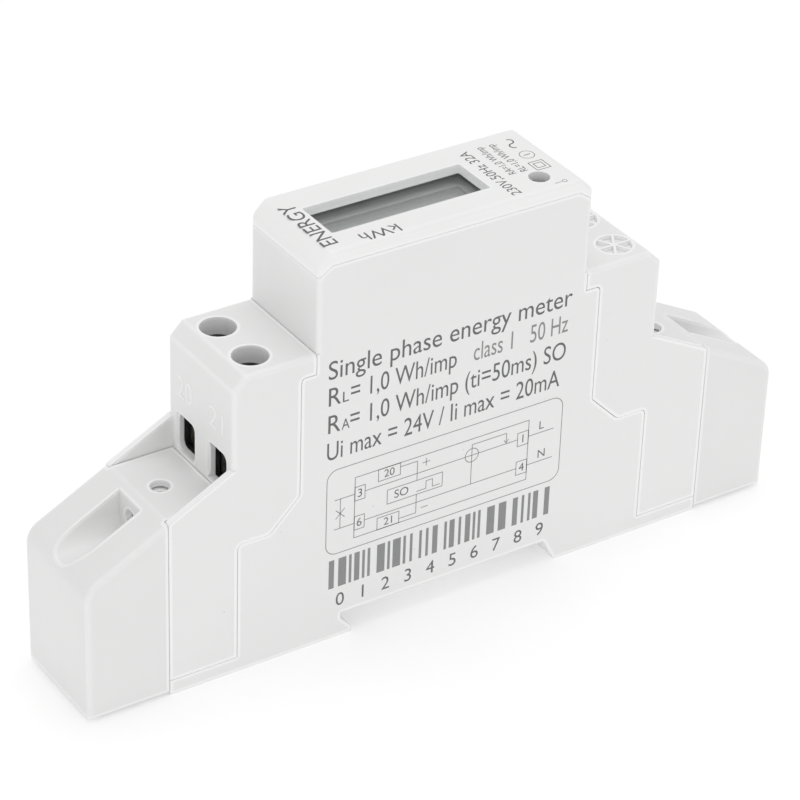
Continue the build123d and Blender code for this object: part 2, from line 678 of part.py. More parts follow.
def electrolytic_capacitor():
    """Can on its side, with the rolled groove near its sealed end."""
    can = rod("Z", (11.0, -1.2), 4.0, 13.2, 24.8)
    can = fillet(can.edges().filter_by(GeomType.CIRCLE), 0.5)
    groove = Pos(11.0, -1.2, 23.0) * Torus(4.15, 0.4)
    legs = []
    for x in (9.75, 12.25):
        legs.append(rod("Z", (x, -1.2), LEAD_R, 24.6, 26.5))
        legs.append(rod("Y", (x, 26.2), LEAD_R, -1.5, BOARD_Y + BOARD_THICK + 0.9))
        LEADS.append((x, 26.2))
    can -= groove
    for leg in legs:
        can += leg
    return can


def axial_part(x, z0, z1, radius, y, ends):
    """Barrel along Z with a lead bent into the board beyond each end."""
    barrel = rod("Z", (x, y), radius, z0, z1)
    barrel = fillet(barrel.edges().filter_by(GeomType.CIRCLE), radius * 0.25)
    for z in ends:
        barrel += rod("Z", (x, y), LEAD_R, min(z, z1 - 0.3), max(z, z0 + 0.3))
        barrel += lead(x, z, y - 0.2)
    return barrel


def rectifier_diodes():
    return group([axial_part(x, 15.0, 19.6, 1.25, 2.3, (13.6, 21.0)) for x in (17.2, 20.2)])


def fusible_resistor():
    barrel = rod("X", (1.2, 31.0), 2.1, -17.5, -7.5)
    barrel = fillet(barrel.edges().filter_by(GeomType.CIRCLE), 0.6)
    for x0, x1, tip in ((-20.0, -17.2, -20.0), (-7.8, -5.0, -5.0)):
        barrel += rod("X", (1.2, 31.0), LEAD_R, x0 - 0.2, x1 + 0.2)
        barrel += lead(tip, 31.0, 1.0)
    return barrel


def gull_chip(x0, x1, z0, z1, height, pins, pitch, along_x):
    """Chip package on the board's face with rows of feet on two sides."""
    top = BOARD_Y - height
    body = block(x0, x1, top, BOARD_Y - 0.1, z0, z1)
    body = chamfer(body.edges().filter_by(Axis.Y), 0.2)
    middle = (x0 + x1) / 2 if along_x else (z0 + z1) / 2
    for i in range(pins):
        at = middle + (i - (pins - 1) / 2) * pitch
        for low, high in ((-0.9, 0.2), (-0.2, 0.9)):
            near_side = low < -0.5
            if along_x:
                edge = z0 if near_side else z1
                body += block(at - 0.15, at + 0.15, BOARD_Y - 0.25, BOARD_Y, edge + low, edge + high)
            else:
                edge = x0 if near_side else x1
                body += block(edge + low, edge + high, BOARD_Y - 0.25, BOARD_Y, at - 0.15, at + 0.15)
    return body


def metering_chip():
    return gull_chip(-3.0, 10.0, 33.5, 39.0, 2.0, 10, 1.27, True)


def controller_chip():
    chip = gull_chip(-4.5, 4.5, 42.5, 51.5, 1.4, 10, 0.8, True)
    return chip + gull_chip(-4.5, 4.5, 42.5, 51.5, 1.4, 10, 0.8, False)


def optocoupler():
    body = soft_box(-19.4, -14.8, 0.3, 3.6, 35.6, 40.2, 0.3)
    for x in (-19.9, -14.3):
        for z in (36.6, 39.2):
            inward = 0.8 if x < -17 else -0.8
            body += block(*sorted((x, x + inward)), 1.7, 2.0, z - 0.3, z + 0.3)
            body += lead(x, z, 1.7)
    return body


def crystal():
    can = Pos(13.5, 2.0, 47.0) * Rot(90, 0, 0) * extrude(SlotOverall(10.0, 4.2), amount=1.7, both=True)
    can = fillet(can.edges().sort_by(Axis.Y)[:4], 0.4)
    return can + lead(11.2, 47.0, 3.0) + lead(15.8, 47.0, 3.0)


def chip_parts():
    """Small surface-mounted parts, each a ceramic block on the board's face."""
    places = [(x, 29.2) for x in (-2.0, 0.8, 3.6, 6.4)]
    places += [(x, 41.0) for x in (-11.0, -8.4, 6.8, 9.4)]
    places += [(x, 52.6) for x in (-17.0, -14.4, -11.8, 8.2, 10.8, 13.4)]
    places += [(14.6, z) for z in (31.0, 33.0, 35.0, 37.0)]
    return group([soft_box(x - 1.0, x + 1.0, 3.2, BOARD_Y, z - 0.6, z + 0.6, 0.12) for x, z in places])


def metering_board():
    outline = [
        (-24.3, BOARD_LOW),
        (24.3, BOARD_LOW),
        (24.3, 44.6),
        (21.3, 44.6),
        (21.3, BOARD_HIGH),
        (-21.3, BOARD_HIGH),
        (-21.3, 44.6),
        (-24.3, 44.6),
    ]
    board = slab(outline, BOARD_Y, BOARD_Y + BOARD_THICK)
    for x, z in BOARD_POSTS:
        board -= rod("Y", (x, z), 0.8, BOARD_Y - 1, BOARD_Y + 3)
    for x, z in LEADS:
        board -= rod("Y", (x, z), LEAD_HOLE_R, BOARD_Y - 1, BOARD_Y + 3)
    return board


def solder_joints():
    """Solder cones on the far face of the metering board, one around each lead."""
    back = BOARD_Y + BOARD_THICK
    joints = []
    for x, z in LEADS:
        bead = Pos(x, back + 0.3, z) * Rot(-90, 0, 0) * Cone(0.75, 0.4, 0.6)
        joints.append(bead - rod("Y", (x, z), LEAD_R + 0.01, back - 1, back + 2))
    return group(joints)


def display_board():
    z = DISPLAY_BOARD_Z
    board = block(-21.3, 21.3, -7.1, 7.0, z, z + BOARD_THICK)
    board = chamfer(board.edges().filter_by(Axis.Z), 0.8)
    for x in BEZEL_CLIPS:
        board -= both_y(block(x - 2.4, x + 2.4, 6.9, 8, z - 1, z + 2))
    for x in header_xs():
        board -= rod("Z", (x, 1.4), LEAD_HOLE_R, z - 1, z + 2)
    for x in (LED_X - 1.27, LED_X + 1.27):
        board -= rod("Z", (x, LED_Y), LEAD_HOLE_R, z - 1, z + 2)
    return board


def header_xs():
    return [-12.7 + 2.54 * i for i in range(8)]


def board_header():
    """Right-angle pin header that joins the two boards."""
    strip = block(header_xs()[0] - 1.3, header_xs()[-1] + 1.3, 0.4, 2.4, 53.3, 55.7)
    for x in header_xs():
        strip += rod("Z", (x, 1.4), LEAD_R, 53.5, DISPLAY_BOARD_Z + BOARD_THICK + 0.8)
        strip += lead(x, 53.9, 2.0)
    return strip


def pulse_led():
    """Round indicator with a flange and a domed top under the bezel's hole."""
    flange_z = 58.4
    top = HEIGHT - 0.7
    body = rod("Z", (LED_X, LED_Y), 1.45, flange_z, top - 1.45)
    body += Pos(LED_X, LED_Y, top - 1.45) * Sphere(1.45)
    body += rod("Z", (LED_X, LED_Y), 1.8, flange_z, flange_z + 0.8)
    for x in (LED_X - 1.27, LED_X + 1.27):
        body += block(x - 0.25, x + 0.25, LED_Y - 0.25, LED_Y + 0.25, DISPLAY_BOARD_Z - 0.6, flange_z + 0.3)
    return body


def lcd_panel():
    """Two glass plates, the lower one wider so that its contacts are bare."""
    middle = sum(WINDOW_X) / 2
    lower = block(middle - 14.0, middle + 14.0, -5.6, 5.6, 60.0, 61.0)
    upper = block(middle - 14.0, middle + 14.0, -4.6, 4.6, 61.0, 62.0 - 0.05)
    return lower + upper


def lcd_frame():
    """Moulded frame around the LCD, standing on the display board."""
    middle = sum(WINDOW_X) / 2
    z = DISPLAY_BOARD_Z + BOARD_THICK
    frame = block(middle - 15.3, middle + 15.3, -6.5, 6.5, z, 61.6)
    frame -= block(middle - 14.15, middle + 14.15, -5.75, 5.75, 59.95, 63)
    frame -= block(middle - 13.0, middle + 13.0, -2.6, 2.6, z - 1, 63)
    for y in (-4.6, 4.6):
        frame -= block(middle - 13.2, middle + 13.2, y - 0.95, y + 0.95, z - 1, 63)
    return frame


def lcd_connectors():
    """Elastomer strips that join the LCD's contacts to the display board."""
    middle = sum(WINDOW_X) / 2
    z = DISPLAY_BOARD_Z + BOARD_THICK
    return group([block(middle - 13.0, middle + 13.0, y - 0.85, y + 0.85, z, 60.0) for y in (-4.6, 4.6)])


def display_window():
    high = HEIGHT - BEZEL_PLATE
    return block(WINDOW_X[0] - 1.5, WINDOW_X[1] + 1.5, -5.6, 5.6, high - GLASS_THICK, high)


def wire(points, radius):
    """Insulated wire along straight runs joined by arcs."""
    path = FilletPolyline(*points, radius=1.3)
    start = Plane(origin=points[0], z_dir=Vector(*points[1]) - Vector(*points[0]))
    return sweep(start * Circle(radius), path=path)


def sense_wires():
    """Two wires from the shunt's ends to the metering board."""
    wires = []
    for x in (-5.6, 5.6):
        tip = x * 0.5
        low = [(x, 3.0, BAR_TOP), (x, 3.0, 9.6), (x, 0.9, 9.6)]
        high = [(x, 0.9, 11.9), (tip, 0.9, 11.9), (tip, BOARD_Y, 11.9)]
        wires.append(wire(low + high, 0.45))
    return group(wires)


def neutral_wire():
    rise = [(14.0, -4.3, BAR_TOP), (14.0, -4.3, 11.0), (14.0, 1.0, 11.0)]
    end = [(17.0, 1.0, 11.9), (17.0, BOARD_Y, 11.9)]
    return wire(rise + end, 0.5)


# ---- latch ----
def rail_latch():
    """Sliding catch with side flanges, a nose that hooks the rail and a slot for a screwdriver."""
    nose = [
        (NOSE_X, 0.75),
        (17.5, 0.1),
        (NOSE_END, 0.1),
        (NOSE_END, 1.9),
        (18.9, 2.7),
        (18.2, 2.7),
    ]
    latch = slab(nose, -LATCH_HALF, LATCH_HALF)
    latch += block(21.0, LATCH_END, -LATCH_HALF, LATCH_HALF, 0.1, 2.2)
    latch += block(22.4, LATCH_END - 1.5, -FLANGE_HALF, FLANGE_HALF, 1.2, 2.2)
    latch -= block(SPRING_START, SPRING_STOP + 2.6, -1.35, 1.35, -1, 3)
    latch -= block(41.2, 42.6, -2.6, 2.6, -1, 3)
    return latch


def latch_spring():
    """Compression spring between the latch and the stop in the floor."""
    length = SPRING_STOP - SPRING_START - 0.1
    turns = 9
    radius = 0.75
    helix = Helix(pitch=length / turns - 0.03, height=length - 0.35, radius=radius)
    coil = sweep(Plane(origin=helix @ 0, z_dir=helix % 0) * Circle(0.16), path=helix)
    return Pos(SPRING_START + 0.2, 0, 1.25) * Rot(0, 90, 0) * coil


def main():
    os.makedirs("parts", exist_ok=True)
    cover = terminal_cover()
    pieces = {
        "main_housing": main_housing(),
        "pulse_shoulder_housing": shoulder_housing(pulse=True),
        "blank_shoulder_housing": shoulder_housing(pulse=False),
        "pulse_terminal_block": pulse_terminal_block(),
        "left_terminal_cover": cover,
        "right_terminal_cover": flip_x(cover),
        "display_bezel": display_bezel(),
        "display_window": display_window(),
        "lcd_panel": lcd_panel(),
        "lcd_frame": lcd_frame(),
        "lcd_connectors": lcd_connectors(),
        "pulse_led": pulse_led(),
        "display_board": display_board(),
        "board_header": board_header(),
        "neutral_bar": neutral_bar(),
        "left_live_bar": live_bar(),
        "right_live_bar": flip_x(live_bar()),
        "current_shunt": shunt(),
        "film_capacitor": film_capacitor(),
        "varistor": varistor(),
        "electrolytic_capacitor": electrolytic_capacitor(),
        "rectifier_diodes": rectifier_diodes(),
        "fusible_resistor": fusible_resistor(),
        "metering_chip": metering_chip(),
        "controller_chip": controller_chip(),
        "optocoupler": optocoupler(),
        "crystal": crystal(),
        "chip_parts": chip_parts(),
        "sense_wires": sense_wires(),
        "neutral_wire": neutral_wire(),
        "rail_latch": rail_latch(),
        "latch_spring": latch_spring(),
    }
    for number, y in ((1, -TERMINAL_Y), (2, TERMINAL_Y)):
        pieces[f"pulse_cage_{number}"] = pulse_cage(y)
        pieces[f"pulse_screw_{number}"] = pulse_screw(y)
        pieces[f"pulse_contact_{number}"] = pulse_contact(y)
        for side_name, side in (("left", -1), ("right", 1)):
            pieces[f"{side_name}_cage_{number}"] = main_cage(side, y)
            pieces[f"{side_name}_screw_{number}"] = main_screw(side, y)
    LEADS.extend(PULSE_LEADS)
    pieces["metering_board"] = metering_board()
    pieces["solder_joints"] = solder_joints()
    for name, shape in pieces.items():
        save(name, shape)


main()
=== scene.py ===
import json
import math
import random

import bmesh
import bpy
from mathutils import Matrix, Vector


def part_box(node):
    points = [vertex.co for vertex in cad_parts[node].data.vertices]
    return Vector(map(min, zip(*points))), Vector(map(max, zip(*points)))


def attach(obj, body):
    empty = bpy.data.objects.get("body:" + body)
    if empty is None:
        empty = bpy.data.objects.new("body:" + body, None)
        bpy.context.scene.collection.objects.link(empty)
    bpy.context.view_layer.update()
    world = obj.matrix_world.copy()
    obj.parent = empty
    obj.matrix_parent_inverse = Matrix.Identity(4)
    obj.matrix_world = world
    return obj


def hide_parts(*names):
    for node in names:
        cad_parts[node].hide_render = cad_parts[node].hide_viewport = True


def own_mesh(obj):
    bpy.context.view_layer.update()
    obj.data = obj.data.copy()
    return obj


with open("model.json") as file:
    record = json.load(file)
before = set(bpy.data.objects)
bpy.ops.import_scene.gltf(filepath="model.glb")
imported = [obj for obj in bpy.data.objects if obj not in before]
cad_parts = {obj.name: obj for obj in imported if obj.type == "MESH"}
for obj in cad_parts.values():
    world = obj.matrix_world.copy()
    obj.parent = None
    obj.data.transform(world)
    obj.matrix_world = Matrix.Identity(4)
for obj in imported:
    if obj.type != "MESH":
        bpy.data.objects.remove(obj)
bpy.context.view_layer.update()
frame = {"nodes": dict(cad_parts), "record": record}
NODES = frame["nodes"]
MM = 0.001

# ---------------------------------------------------------------- geometry read from the frame
LABEL_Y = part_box("main_housing")[0].y
TOP_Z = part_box("display_bezel")[1].z
WINDOW_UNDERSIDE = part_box("display_window")[0].z
SHOULDER_END_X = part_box("pulse_shoulder_housing")[0].x
LCD_LOW, LCD_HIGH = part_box("lcd_panel")
SPRING_LOW, SPRING_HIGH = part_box("latch_spring")
LED_LOW, LED_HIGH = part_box("pulse_led")


# ---------------------------------------------------------------- shader helpers
class Tree:
    """One material's node tree, with short calls for the nodes used below."""

    def __init__(self, name):
        self.material = bpy.data.materials.new(name)
        self.material.use_nodes = True
        self.tree = self.material.node_tree
        self.bsdf = self.tree.nodes["Principled BSDF"]
        self.coords = self.node("ShaderNodeTexCoord").outputs["Object"]

    def node(self, kind, **settings):
        n = self.tree.nodes.new(kind)
        for key, value in settings.items():
            setattr(n, key, value)
        return n

    def link(self, a, b):
        self.tree.links.new(a, b)

    def noise(self, scale, detail=3.0, rough=0.55, where=None):
        n = self.node("ShaderNodeTexNoise")
        n.inputs["Scale"].default_value = scale
        n.inputs["Detail"].default_value = detail
        n.inputs["Roughness"].default_value = rough
        self.link(where or self.coords, n.inputs["Vector"])
        return n.outputs["Fac"]

    def cells(self, scale, feature="F1", output="Distance", where=None):
        n = self.node("ShaderNodeTexVoronoi", feature=feature)
        n.inputs["Scale"].default_value = scale
        self.link(where or self.coords, n.inputs["Vector"])
        return n.outputs[output]

    def stretched(self, x, y, z):
        n = self.node("ShaderNodeMapping")
        n.inputs["Scale"].default_value = (x, y, z)
        self.link(self.coords, n.inputs["Vector"])
        return n.outputs["Vector"]

    def spread(self, value, low, high, to_low=0.0, to_high=1.0):
        n = self.node("ShaderNodeMapRange")
        n.inputs["From Min"].default_value = low
        n.inputs["From Max"].default_value = high
        n.inputs["To Min"].default_value = to_low
        n.inputs["To Max"].default_value = to_high
        self.link(value, n.inputs["Value"])
        return n.outputs["Result"]

    def math(self, operation, a, b):
        n = self.node("ShaderNodeMath", operation=operation)
        for socket, value in zip(n.inputs, (a, b)):
            if isinstance(value, (int, float)):
                socket.default_value = value
            else:
                self.link(value, socket)
        return n.outputs["Value"]

    def axis(self, name):
        n = self.node("ShaderNodeSeparateXYZ")
        self.link(self.coords, n.inputs["Vector"])
        return n.outputs[name]

    def mix(self, factor, a, b):
        n = self.node("ShaderNodeMix", data_type="RGBA")
        for socket, value in ((n.inputs[0], factor), (n.inputs[6], a), (n.inputs[7], b)):
            if isinstance(value, (int, float)):
                socket.default_value = value
            elif isinstance(value, tuple):
                socket.default_value = value if len(value) == 4 else (*value, 1)
            else:
                self.link(value, socket)
        return n.outputs[2]

    def bump(self, height, distance, strength=1.0, normal=None):
        n = self.node("ShaderNodeBump")
        n.inputs["Strength"].default_value = strength
        n.inputs["Distance"].default_value = distance
        self.link(height, n.inputs["Height"])
        if normal is not None:
            self.link(normal, n.inputs["Normal"])
        return n.outputs["Normal"]

    def set(self, socket, value):
        target = self.bsdf.inputs[socket]
        if isinstance(value, (int, float)):
            target.default_value = value
        elif isinstance(value, tuple):
            target.default_value = (*value, 1) if len(value) == 3 else value
        else:
            self.link(value, target)


def shade(colour, factor):
    return tuple(min(1.0, c * factor) for c in colour)


EDGE_HIGHLIGHT = 1.17  # how much lighter a sharp edge is painted, a painted highlight
RIDGE_HIGHLIGHT = 1.12  # how much lighter a rounded outer edge is painted, a painted highlight
# how far the painted shade in corners reaches
CORNER_SHADE_REACH = 0.0009
# how far the painted highlight on rounded outer edges reaches
RIDGE_REACH = 0.0006
# radius of the bevel that finds sharp edges for their painted highlight and rounds the shading normal
EDGE_BEVEL_RADIUS = 0.00018
# how strong the painted shade in corners is
CORNER_SHADE_AMOUNT = 0.04


def moulded(name, colour, rough=0.42, grain=9000, depth=4e-6, specks=True):
    """Moulded plastic: grain, slow tone drift, dust specks, painted shade in corners, edges painted paler
    as painted highlights.
    """
    t = Tree(name)
    slow = t.spread(t.noise(45, 3), 0.3, 0.7)
    base = t.mix(slow, shade(colour, 0.985), shade(colour, 1.01))
    flow = t.spread(t.noise(22, 2, where=t.stretched(1, 3, 0.35)), 0.42, 0.62, 0.0, 0.35)
    base = t.mix(flow, base, shade(colour, 1.02))
    if specks:
        size = t.spread(t.cells(420), 0.055, 0.02)
        some = t.spread(t.noise(260, 0), 0.62, 0.66)
        base = t.mix(t.math("MULTIPLY", size, some), base, shade(colour, 0.55))
    # painted shade: corners and creases found by ambient occlusion are painted darker
    corner = t.node("ShaderNodeAmbientOcclusion", samples=6)
    corner.inputs["Distance"].default_value = CORNER_SHADE_REACH
    painted_corner_shade = t.spread(corner.outputs["AO"], 0.35, 0.85, 1.0, 0.0)
    base = t.mix(t.math("MULTIPLY", painted_corner_shade, CORNER_SHADE_AMOUNT), base, shade(colour, 0.35))

    # painted highlight: sharp edges found by the bevel normal are painted paler
    rounded = t.node("ShaderNodeBevel", samples=4)
    rounded.inputs["Radius"].default_value = EDGE_BEVEL_RADIUS
    plain = t.node("ShaderNodeNewGeometry")
    turn = t.node("ShaderNodeVectorMath", operation="DOT_PRODUCT")
    t.link(rounded.outputs["Normal"], turn.inputs[0])
    t.link(plain.outputs["Normal"], turn.inputs[1])
    painted_edge_highlight = t.spread(turn.outputs["Value"], 0.995, 0.85, 0.0, 0.8)
    base = t.mix(painted_edge_highlight, base, shade(colour, EDGE_HIGHLIGHT))
    # painted highlight: rounded outer edges found by inside occlusion are painted paler
    convex = t.node("ShaderNodeAmbientOcclusion", samples=8, inside=True, only_local=True)
    convex.inputs["Distance"].default_value = RIDGE_REACH
    painted_ridge_highlight = t.spread(convex.outputs["AO"], 0.985, 0.88)
    base = t.mix(painted_ridge_highlight, base, shade(colour, RIDGE_HIGHLIGHT))
    t.set("Base Color", base)

    scuffs = t.spread(t.noise(700, 4, 0.7, t.stretched(1, 1, 0.25)), 0.35, 0.75, -0.05, 0.07)
    t.set("Roughness", t.math("ADD", scuffs, rough))
    t.set("Specular IOR Level", 0.45)
    fine = t.noise(grain, 2, 0.6)
    pits = t.spread(t.cells(grain * 0.55), 0.0, 0.5)
    height = t.math("ADD", fine, t.math("MULTIPLY", pits, 0.6))
    t.set("Normal", t.bump(height, depth, 0.8, rounded.outputs["Normal"]))
    return t.material


TIN = (0.62, 0.6, 0.56)
GOLD = (0.8, 0.62, 0.28)


def part_coat(
    name, colour, rough, lead=None, bump_scale=2500, depth=6e-6, coat=0.0, lead_colour=TIN
):
    """Coated electronic part. Metal leads show outside lead, a list of (axis, low, high)."""
    t = Tree(name)
    drift = t.spread(t.noise(350, 4), 0.3, 0.7)
    base = t.mix(drift, shade(colour, 0.88), shade(colour, 1.12))
    height = t.noise(bump_scale, 3)
    t.set("Roughness", t.spread(t.noise(900, 3), 0.3, 0.7, rough * 0.85, min(1.0, rough * 1.15)))
    t.set("Coat Weight", coat)
    if lead:
        outside = None
        for axis, low, high in lead:
            value = t.axis(axis)
            below = t.math("LESS_THAN", value, low * MM)
            above = t.math("GREATER_THAN", value, high * MM)
            either = t.math("MAXIMUM", below, above)
            outside = either if outside is None else t.math("MAXIMUM", outside, either)
        dull = t.spread(t.noise(3000, 4), 0.35, 0.65)
        tin = t.mix(dull, shade(lead_colour, 0.8), shade(lead_colour, 1.1))
        base = t.mix(outside, base, tin)
        t.set("Metallic", outside)
    t.set("Base Color", base)
    t.set("Normal", t.bump(height, depth, 0.6))
    return t.material


TARNISH = (0.2, 0.17, 0.13)


def metal(name, colour, rough, stretch=(1, 1, 1), grain=6000):
    """Plated or bare metal with drawing lines, spangle and light tarnish."""
    t = Tree(name)
    where = t.stretched(*stretch)
    lines = t.noise(grain, 3, 0.6, where)
    spangle = t.cells(1400, output="Color")
    tone = t.node("ShaderNodeRGBToBW")
    t.link(spangle, tone.inputs["Color"])
    base = t.mix(t.spread(tone.outputs["Val"], 0.1, 0.9, 0.0, 0.5), colour, shade(colour, 0.82))
    base = t.mix(t.spread(lines, 0.3, 0.7, 0.0, 0.4), base, shade(colour, 1.15))
    stain = t.spread(t.noise(500, 4, 0.65), 0.52, 0.75, 0.0, 0.35)
    base = t.mix(stain, base, TARNISH)
    t.set("Base Color", base)
    t.set("Metallic", 1.0)
    t.set("Roughness", t.spread(t.noise(1600, 3), 0.3, 0.7, rough * 0.75, rough * 1.3))
    t.set("Normal", t.bump(lines, 3e-6, 0.5))
    return t.material


def clear_window():
    """Polished clear plastic: mirrors at a grazing angle, with hairline scratches."""
    t = Tree("clear_window")
    t.set("Metallic", 1.0)
    t.set("Base Color", (0.96, 0.97, 0.97))
    scratches = t.spread(t.noise(2200, 5, 0.7, t.stretched(0.08, 1, 1)), 0.62, 0.7)
    t.set("Roughness", t.math("ADD", t.math("MULTIPLY", scratches, 0.12), 0.04))
    t.set("Normal", t.bump(t.noise(120, 2), 2e-6, 0.4))
    clear = t.node("ShaderNodeBsdfTransparent")
    clear.inputs["Color"].default_value = (0.97, 0.98, 0.975, 1)
    facing = t.node("ShaderNodeFresnel")
    facing.inputs["IOR"].default_value = 1.45
    mirrored = t.math("MULTIPLY", facing.outputs["Fac"], 0.8)
    shown = t.math("ADD", mirrored, t.math("MULTIPLY", scratches, 0.015))
    join = t.node("ShaderNodeMixShader")
    t.link(shown, join.inputs[0])
    t.link(clear.outputs[0], join.inputs[1])
    t.link(t.bsdf.outputs[0], join.inputs[2])
    t.link(join.outputs[0], t.tree.nodes["Material Output"].inputs["Surface"])
    return t.material


def lcd_glass():
    """Unpowered grey display glass, painted near white with a slow gradient of painted light (paler
    towards +X and towards the far side) against the shade of its recess, plus a faint painted glow;
    fibre-like polariser grain, glossy top.
    """
    t = Tree("lcd_glass")
    # painted light: the display is painted paler towards +X and towards the far side
    along = t.spread(t.axis("X"), LCD_LOW.x, LCD_HIGH.x)
    far_side_painted_light = t.spread(t.axis("Y"), LCD_LOW.y, LCD_HIGH.y)
    # near-white base colours: painted light that lifts the grey display against the shade of its recess
    painted_light_tone = t.mix(along, (0.93, 0.928, 0.92), (0.95, 0.948, 0.94))
    base = t.mix(t.math("MULTIPLY", far_side_painted_light, 0.6), painted_light_tone, (0.98, 0.978, 0.97))
    grain = t.noise(7000, 3, 0.6, t.stretched(0.2, 1, 1))
    base = t.mix(t.spread(grain, 0.35, 0.65, 0.0, 0.35), base, (0.90, 0.898, 0.89))
    t.set("Base Color", base)
    t.set("Roughness", t.spread(t.noise(800, 2), 0.3, 0.7, 0.16, 0.26))
    # painted glow: a faint emission on the unlit display, lifting it against its recess's shade
    t.set("Emission Color", (1.0, 1.0, 0.99))
    t.set("Emission Strength", 0.045)
    t.set("Normal", t.bump(grain, 1.5e-6, 0.3))
    return t.material


def elastomer():
    """Layered conductive strip: dark and pink bands along X."""
    t = Tree("elastomer")
    wave = t.node("ShaderNodeTexWave", wave_type="BANDS", bands_direction="X", wave_profile="SIN")
    wave.inputs["Scale"].default_value = 800
    t.link(t.coords, wave.inputs["Vector"])
    edge = t.spread(t.axis("Y"), -0.0046, 0.0046)
    base = t.mix(wave.outputs["Fac"], (0.62, 0.36, 0.4), (0.05, 0.045, 0.05))
    base = t.mix(t.math("MULTIPLY", edge, 0.12), base, (0.8, 0.6, 0.62))
    t.set("Base Color", base)
    t.set("Roughness", t.spread(t.noise(2000, 3), 0.3, 0.7, 0.6, 0.8))
    t.set("Normal", t.bump(wave.outputs["Fac"], 1e-5, 0.4))
    return t.material


LED_PINS_BELOW = 0.05838


def led_epoxy():
    """Water-clear indicator with tinned pins below its flange."""
    t = Tree("led_epoxy")
    drop = t.spread(t.axis("Z"), LED_LOW.z, LED_HIGH.z)
    base = t.mix(drop, (0.3, 0.31, 0.31), (0.16, 0.165, 0.165))
    base = t.mix(t.spread(t.noise(3000, 3), 0.4, 0.6, 0.0, 0.3), base, (0.36, 0.37, 0.37))
    pins = t.math("LESS_THAN", t.axis("Z"), LED_PINS_BELOW)
    base = t.mix(pins, base, TIN)
    t.set("Metallic", pins)
    t.set("Base Color", base)
    t.set("Coat Weight", 0.6)
    t.set("Roughness", t.spread(t.noise(900, 2), 0.3, 0.7, 0.08, 0.16))
    t.set("Normal", t.bump(t.noise(1500, 2), 3e-6, 0.3))
    return t.material


def board_laminate():
    """Green solder mask over woven glass, with copper tracks that stand a little proud."""
    t = Tree("board_laminate")
    grid = t.node("ShaderNodeTexBrick")
    grid.inputs["Scale"].default_value = 230
    grid.inputs["Mortar Size"].default_value = 0.12
    grid.inputs["Color1"].default_value = (0, 0, 0, 1)
    grid.inputs["Color2"].default_value = (0.6, 0.6, 0.6, 1)
    grid.inputs["Mortar"].default_value = (1, 1, 1, 1)
    turned = t.node("ShaderNodeMapping")
    turned.inputs["Rotation"].default_value = (math.radians(90), 0, 0)
    t.link(t.coords, turned.inputs["Vector"])
    t.link(turned.outputs["Vector"], grid.inputs["Vector"])
    gate = t.spread(t.noise(160, 2), 0.46, 0.52)
    track = t.math("MULTIPLY", grid.outputs["Color"], gate)
    warp = t.noise(2600, 2, 0.5, t.stretched(1, 1, 0.15))
    weft = t.noise(2600, 2, 0.5, t.stretched(0.15, 1, 1))
    weave = t.math("ADD", warp, weft)
    base = t.mix(track, (0.012, 0.11, 0.035), (0.03, 0.24, 0.07))
    base = t.mix(t.spread(weave, 0.8, 1.2, 0.0, 0.25), base, (0.05, 0.2, 0.06))
    t.set("Base Color", base)
    t.set("Roughness", t.spread(t.noise(500, 3), 0.3, 0.7, 0.24, 0.36))
    t.set("Coat Weight", 0.3)
    height = t.math("ADD", track, t.math("MULTIPLY", weave, 0.15))
    t.set("Normal", t.bump(height, 2.5e-5, 0.7))
    return t.material


def supply_copper(name, colour, tin_from=0.0):
    """Stamped strip with rolling lines. Past tin_from along X its ends are tinned."""
    t = Tree(name)
    lines = t.noise(5000, 3, 0.6, t.stretched(0.06, 1, 0.06))
    base = t.mix(t.spread(lines, 0.3, 0.7, 0.0, 0.6), colour, shade(colour, 0.75))
    base = t.mix(t.spread(t.noise(300, 4), 0.5, 0.75, 0.0, 0.5), base, shade(colour, 0.45))
    if tin_from:
        out = t.math("ABSOLUTE", t.axis("X"), 0.0)
        edge = t.math("ADD", out, t.math("MULTIPLY", t.noise(600, 3), 0.0012))
        tin = t.spread(edge, tin_from, tin_from + 0.0004)
        base = t.mix(tin, base, (0.66, 0.65, 0.61))
    t.set("Base Color", base)
    t.set("Metallic", 1.0)
    t.set("Roughness", t.spread(t.noise(1500, 3), 0.3, 0.7, 0.25, 0.42))
    t.set("Normal", t.bump(lines, 4e-6, 0.5))
    return t.material


def ink(name, colour):
    """Pad-printed ink: slightly uneven cover with faint pinholes."""
    t = Tree(name)
    cover = t.spread(t.noise(5200, 4, 0.7), 0.3, 0.72, 0.0, 0.22)
    base = t.mix(cover, colour, shade(colour, 1.7))
    holes = t.spread(t.cells(2600), 0.07, 0.04, 0.0, 0.5)
    base = t.mix(holes, base, shade(colour, 2.6))
    t.set("Base Color", base)
    t.set("Roughness", t.spread(t.noise(1500, 3), 0.3, 0.7, 0.42, 0.6))
    t.set("Normal", t.bump(t.noise(6000, 3), 3e-6, 0.5))
    return t.material


# ---------------------------------------------------------------- materials by slot
WHITE = (0.90, 0.90, 0.897)
DARK_INK = (0.13, 0.13, 0.133)
GREY_INK = (0.26, 0.26, 0.263)

BLACK = (0.022, 0.022, 0.024)
BAR_TIN_FROM = 0.0352  # distance from the middle along X past which the supply bars are tinned

# metal shows on these parts outside the given ranges, in millimetres
HEADER_BODY = [("Z", 53.3, 55.7), ("Y", 0, 2.42)]
BOX_BODY = [("Y", -9, 3.72)]
VARISTOR_BODY = [("Y", -9, 3.12)]
CAN_BODY = [("Z", 13.6, 24.4), ("Y", -9, 2.9)]
DIODE_BODY = [("Z", 15.0, 19.6)]
RESISTOR_BODY = [("X", -17.5, -7.5)]
OPTO_BODY = [("X", -19.42, -14.78), ("Y", 0.2, 3.62)]

